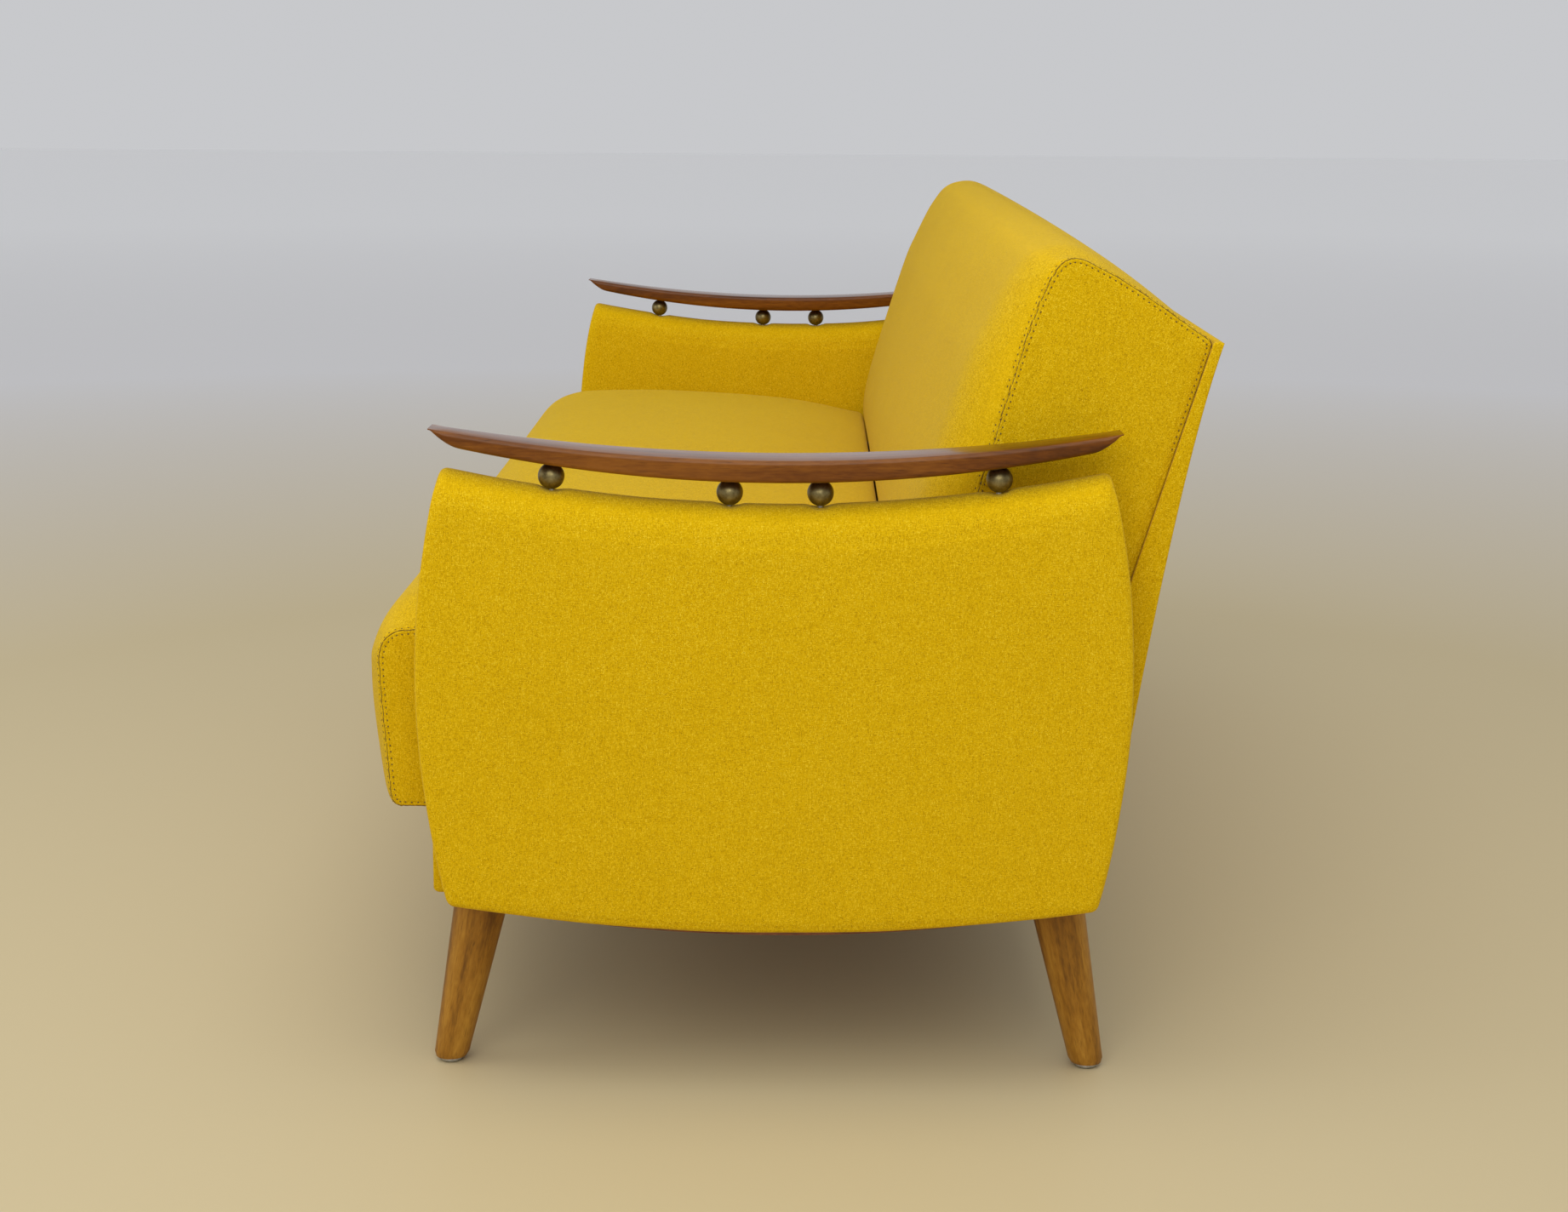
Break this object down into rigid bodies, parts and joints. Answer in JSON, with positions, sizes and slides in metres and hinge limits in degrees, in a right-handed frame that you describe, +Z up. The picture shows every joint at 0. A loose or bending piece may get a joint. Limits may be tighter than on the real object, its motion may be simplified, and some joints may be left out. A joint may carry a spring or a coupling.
{
  "type": "sofa bed",
  "caption": "Upholstered pull-out sofa with splayed wooden legs, barrel-shaped arms, bowed wooden armrests on metal balls and a fold-down back.",
  "frame": {"origin": "on the floor, under the middle of the sofa's overall box", "axes": "+X along the sofa, -Y to the front, +Z up"},
  "size_m": [1.88, 0.8426, 0.8261],
  "materials": {
    "mustard_fabric": "mustard-yellow melange weave, matt",
    "walnut_wood": "walnut-stained beech, satin lacquer",
    "bronze_ball": "aged bronze, satin",
    "pine_wood": "raw planed pine",
    "fibre_board": "red-brown fibre board",
    "steel": "dull zinc-plated steel",
    "felt_pad": "grey-brown felt over springs"
  },
  "bodies": {
    "frame": {"arm_cover_outer_right": "mustard_fabric", "arm_cover_inner_right": "mustard_fabric", "arm_core_right": "fibre_board", "armrest_right": "walnut_wood", "ball_right_1": "bronze_ball", "ball_right_2": "bronze_ball", "ball_right_3": "bronze_ball", "ball_right_4": "bronze_ball", "ball_stud_right_1": "steel", "ball_stud_right_2": "steel", "ball_stud_right_3": "steel", "ball_stud_right_4": "steel", "leg_front_right": "walnut_wood", "leg_rear_right": "walnut_wood", "leg_glide_front_right": "steel", "leg_glide_rear_right": "steel", "leg_plate_front_right": "steel", "leg_plate_rear_right": "steel", "side_rail_right": "pine_wood", "arm_cover_outer_left": "mustard_fabric", "arm_cover_inner_left": "mustard_fabric", "arm_core_left": "fibre_board", "armrest_left": "walnut_wood", "ball_left_1": "bronze_ball", "ball_left_2": "bronze_ball", "ball_left_3": "bronze_ball", "ball_left_4": "bronze_ball", "ball_stud_left_1": "steel", "ball_stud_left_2": "steel", "ball_stud_left_3": "steel", "ball_stud_left_4": "steel", "leg_front_left": "walnut_wood", "leg_rear_left": "walnut_wood", "leg_glide_front_left": "steel", "leg_glide_rear_left": "steel", "leg_plate_front_left": "steel", "leg_plate_rear_left": "steel", "side_rail_left": "pine_wood", "front_rail": "pine_wood", "front_rail_cover": "mustard_fabric", "rear_rail": "pine_wood", "box_floor": "fibre_board", "floor_bearer": "pine_wood", "back_shell_cover": "mustard_fabric", "back_shell_core": "pine_wood"},
    "seat": {"seat_cushion": "mustard_fabric", "seat_frame": "pine_wood", "seat_spring_unit": "felt_pad", "seat_guide_right": "pine_wood", "seat_hinge_plate_right": "steel", "hinge_pin_right": "steel", "seat_guide_left": "pine_wood", "seat_hinge_plate_left": "steel", "hinge_pin_left": "steel"},
    "back": {"back_cushion": "mustard_fabric", "back_frame": "pine_wood", "back_spring_unit": "felt_pad", "back_hinge_plate_right": "steel", "back_hinge_plate_left": "steel"}
  },
  "joints": [
    {"name": "seat_slide", "type": "slide", "parent": "frame", "child": "seat", "axis": [0, -1, 0], "range_m": [0, 0.45]},
    {"name": "back_fold", "type": "hinge", "parent": "seat", "child": "back", "pos_m": [0, 0.16479, 0.4268], "axis": [-1, 0, 0], "range_deg": [0, 73]}
  ],
  "couplings": [
    {"joint": "back_fold", "follows": "seat_slide", "rad_per_m": 2.831}
  ]
}
